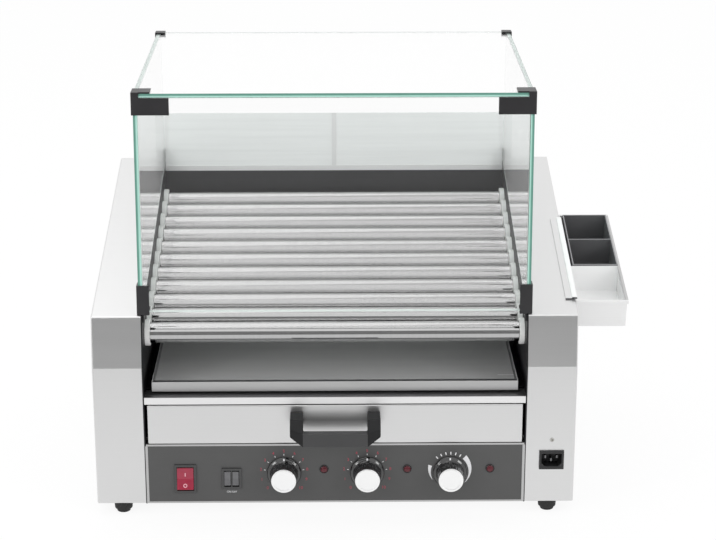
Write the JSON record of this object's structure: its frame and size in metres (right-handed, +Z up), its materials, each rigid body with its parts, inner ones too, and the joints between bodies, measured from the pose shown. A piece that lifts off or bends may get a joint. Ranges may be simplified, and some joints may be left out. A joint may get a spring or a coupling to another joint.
{
  "type": "hot dog machine",
  "caption": "Counter-top hot dog roller machine with an inclined deck of heated rollers, glass hood, drip tray, bun drawer, dial controls and a hang-on side tray.",
  "frame": {"origin": "on the table, under the middle of the whole machine's box, side tray and drawer handle included", "axes": "+X to the machine's right seen from the front, +Y to its back, +Z up"},
  "size_m": [0.644, 0.444, 0.52],
  "materials": {
    "stainless": "brushed",
    "dark_steel": "dulled by heat",
    "roller_steel": "polished",
    "bright_steel": "plated",
    "drive_steel": "oiled",
    "heater_sheath": "dull",
    "white_plastic": "moulded",
    "panel": "satin",
    "black_plastic": "moulded",
    "silver_cap": "spun",
    "red_plastic": "translucent",
    "grey_plastic": "moulded",
    "lamp_lens": "translucent",
    "hood_glass": "clear, polished edges",
    "rubber": "moulded"
  },
  "bodies": {
    "body": {"base_pan": "stainless", "left_casing": "stainless", "right_casing": "stainless", "left_side_plate": "stainless", "right_side_plate": "stainless", "rear_cover": "stainless", "rear_guard": "stainless", "front_rail": "stainless", "drawer_shelf": "stainless", "drawer_runners": "stainless", "tray_ledges": "stainless", "well_back": "dark_steel", "fixing_screws": "bright_steel", "tray_studs": "bright_steel", "heater_brackets": "bright_steel", "motor_bracket": "bright_steel", "drive_motor": "drive_steel", "drive_chain": "drive_steel", "heating_rods": "heater_sheath", "drawer_heater": "heater_sheath", "roller_bushes": "white_plastic", "control_panel": "panel", "thermostats": "black_plastic", "power_switch_body": "black_plastic", "twin_switch_body": "black_plastic", "mains_inlet": "black_plastic", "indicator_lamps": "lamp_lens", "feet": "rubber"},
    "roller_01": {"roller_01": "roller_steel"},
    "roller_02": {"roller_02": "roller_steel"},
    "roller_03": {"roller_03": "roller_steel"},
    "roller_04": {"roller_04": "roller_steel"},
    "roller_05": {"roller_05": "roller_steel"},
    "roller_06": {"roller_06": "roller_steel"},
    "roller_07": {"roller_07": "roller_steel"},
    "roller_08": {"roller_08": "roller_steel"},
    "roller_09": {"roller_09": "roller_steel"},
    "roller_10": {"roller_10": "roller_steel"},
    "roller_11": {"roller_11": "roller_steel"},
    "drive_sprocket": {"drive_sprocket": "drive_steel"},
    "knob_left": {"knob_left": "black_plastic", "knob_cap_left": "silver_cap"},
    "knob_middle": {"knob_middle": "black_plastic", "knob_cap_middle": "silver_cap"},
    "knob_right": {"knob_right": "black_plastic", "knob_cap_right": "silver_cap"},
    "power_rocker": {"power_rocker": "red_plastic"},
    "twin_rocker_left": {"twin_rocker_left": "grey_plastic"},
    "twin_rocker_right": {"twin_rocker_right": "grey_plastic"},
    "drawer": {"drawer_box": "stainless", "drawer_front": "stainless", "drawer_handle": "black_plastic"},
    "drip_tray": {"drip_tray": "dark_steel"},
    "hood": {"hood_top_glass": "hood_glass", "hood_front_glass": "hood_glass", "hood_side_glasses": "hood_glass", "hood_clips": "black_plastic"},
    "side_tray": {"side_tray": "stainless"},
    "tray_bin": {"tray_bin": "black_plastic"}
  },
  "joints": [
    {"name": "roller_01_spin", "type": "hinge", "parent": "body", "child": "roller_01", "pos_m": [-0.032, -0.138, 0.21842], "axis": [1, 0, 0], "continuous": true},
    {"name": "roller_02_spin", "type": "hinge", "parent": "body", "child": "roller_02", "pos_m": [-0.032, -0.10578, 0.22557], "axis": [1, 0, 0], "continuous": true},
    {"name": "roller_03_spin", "type": "hinge", "parent": "body", "child": "roller_03", "pos_m": [-0.032, -0.07356, 0.23271], "axis": [1, 0, 0], "continuous": true},
    {"name": "roller_04_spin", "type": "hinge", "parent": "body", "child": "roller_04", "pos_m": [-0.032, -0.04134, 0.23985], "axis": [1, 0, 0], "continuous": true},
    {"name": "roller_05_spin", "type": "hinge", "parent": "body", "child": "roller_05", "pos_m": [-0.032, -0.00912, 0.247], "axis": [1, 0, 0], "continuous": true},
    {"name": "roller_06_spin", "type": "hinge", "parent": "body", "child": "roller_06", "pos_m": [-0.032, 0.0231, 0.25414], "axis": [1, 0, 0], "continuous": true},
    {"name": "roller_07_spin", "type": "hinge", "parent": "body", "child": "roller_07", "pos_m": [-0.032, 0.05532, 0.26128], "axis": [1, 0, 0], "continuous": true},
    {"name": "roller_08_spin", "type": "hinge", "parent": "body", "child": "roller_08", "pos_m": [-0.032, 0.08754, 0.26843], "axis": [1, 0, 0], "continuous": true},
    {"name": "roller_09_spin", "type": "hinge", "parent": "body", "child": "roller_09", "pos_m": [-0.032, 0.11976, 0.27557], "axis": [1, 0, 0], "continuous": true},
    {"name": "roller_10_spin", "type": "hinge", "parent": "body", "child": "roller_10", "pos_m": [-0.032, 0.15198, 0.28271], "axis": [1, 0, 0], "continuous": true},
    {"name": "roller_11_spin", "type": "hinge", "parent": "body", "child": "roller_11", "pos_m": [-0.032, 0.1842, 0.28985], "axis": [1, 0, 0], "continuous": true},
    {"name": "drive_sprocket_spin", "type": "hinge", "parent": "body", "child": "drive_sprocket", "pos_m": [0.206, 0.014, 0.132], "axis": [1, 0, 0], "continuous": true},
    {"name": "knob_left_turn", "type": "hinge", "parent": "body", "child": "knob_left", "pos_m": [-0.0943, -0.186, 0.054], "axis": [0, 1, 0], "range_deg": [0, 270]},
    {"name": "knob_middle_turn", "type": "hinge", "parent": "body", "child": "knob_middle", "pos_m": [0.0065, -0.186, 0.054], "axis": [0, 1, 0], "range_deg": [0, 270]},
    {"name": "knob_right_turn", "type": "hinge", "parent": "body", "child": "knob_right", "pos_m": [0.107, -0.186, 0.054], "axis": [0, 1, 0], "range_deg": [0, 270]},
    {"name": "power_rocker_tip", "type": "hinge", "parent": "body", "child": "power_rocker", "pos_m": [-0.214, -0.183, 0.047], "axis": [1, 0, 0], "range_deg": [0, 18]},
    {"name": "twin_rocker_left_tip", "type": "hinge", "parent": "body", "child": "twin_rocker_left", "pos_m": [-0.16285, -0.183, 0.047], "axis": [1, 0, 0], "range_deg": [0, 18]},
    {"name": "twin_rocker_right_tip", "type": "hinge", "parent": "body", "child": "twin_rocker_right", "pos_m": [-0.15315, -0.183, 0.047], "axis": [1, 0, 0], "range_deg": [0, 18]},
    {"name": "drawer_slide", "type": "slide", "parent": "body", "child": "drawer", "axis": [0, -1, 0], "range_m": [0, 0.28]},
    {"name": "drip_tray_slide", "type": "slide", "parent": "body", "child": "drip_tray", "axis": [0, -1, 0], "range_m": [0, 0.3]},
    {"name": "hood_lift", "type": "slide", "parent": "body", "child": "hood", "axis": [0, 0, 1], "range_m": [0, 0.2]},
    {"name": "side_tray_lift", "type": "slide", "parent": "body", "child": "side_tray", "axis": [0, -0.2164, 0.9763], "range_m": [0, 0.012]},
    {"name": "tray_bin_lift", "type": "slide", "parent": "side_tray", "child": "tray_bin", "axis": [0, -0.2164, 0.9763], "range_m": [0, 0.06]}
  ],
  "couplings": [
    {"joint": "roller_02_spin", "follows": "roller_01_spin", "ratio": 1},
    {"joint": "roller_03_spin", "follows": "roller_01_spin", "ratio": 1},
    {"joint": "roller_04_spin", "follows": "roller_01_spin", "ratio": 1},
    {"joint": "roller_05_spin", "follows": "roller_01_spin", "ratio": 1},
    {"joint": "roller_06_spin", "follows": "roller_01_spin", "ratio": 1},
    {"joint": "roller_07_spin", "follows": "roller_01_spin", "ratio": 1},
    {"joint": "roller_08_spin", "follows": "roller_01_spin", "ratio": 1},
    {"joint": "roller_09_spin", "follows": "roller_01_spin", "ratio": 1},
    {"joint": "roller_10_spin", "follows": "roller_01_spin", "ratio": 1},
    {"joint": "roller_11_spin", "follows": "roller_01_spin", "ratio": 1},
    {"joint": "drive_sprocket_spin", "follows": "roller_01_spin", "ratio": 1}
  ]
}
